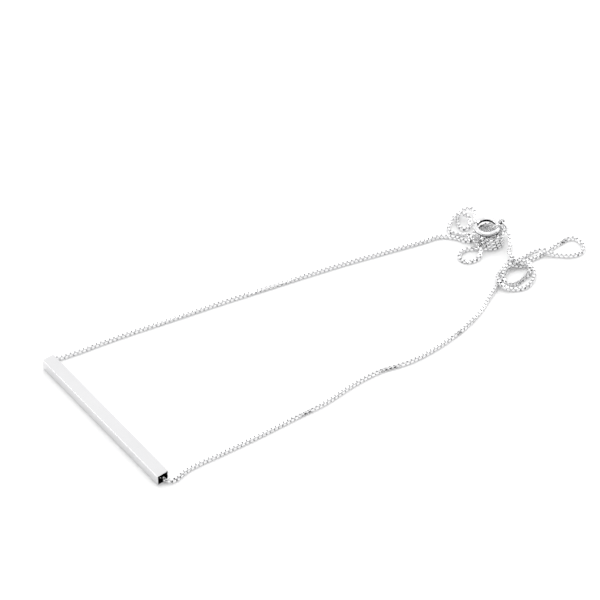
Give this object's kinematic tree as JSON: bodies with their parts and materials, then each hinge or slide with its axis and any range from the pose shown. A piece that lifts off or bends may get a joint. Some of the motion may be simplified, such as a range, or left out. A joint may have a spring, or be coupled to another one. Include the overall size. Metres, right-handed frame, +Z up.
{
  "type": "square bar pendant necklace",
  "caption": "Hollow square bar pendant threaded on a fine box chain, with a spring ring clasp, lying open in a loop.",
  "frame": {"origin": "middle of the bar's underside, on the surface it lies on", "axes": "+X along the bar, +Y from the bar towards the clasp in the plane of the table, +Z up"},
  "size_m": [0.0436, 0.1049, 0.0052],
  "materials": {
    "polished_bar": "polished silver, faint drawing lines",
    "chain_silver": "bright silver, tumbled",
    "clasp_silver": "mirror polished silver"
  },
  "bodies": {
    "necklace": {"bar_pendant": "polished_bar", "chain_left": "chain_silver", "chain_right": "chain_silver", "end_ring_left": "chain_silver", "end_ring_right": "chain_silver", "catch_ring": "clasp_silver", "jump_ring": "clasp_silver", "clasp_body": "clasp_silver"},
    "bolt": {"clasp_bolt": "clasp_silver"}
  },
  "joints": [
    {"name": "bolt_slide", "type": "hinge", "parent": "necklace", "child": "bolt", "pos_m": [0.00654, 0.08878, 0.0041], "axis": [0, 0, 1], "range_deg": [-44, 0], "stiffness_Nm_per_rad": 0.0002, "springref_deg": 5.73}
  ]
}
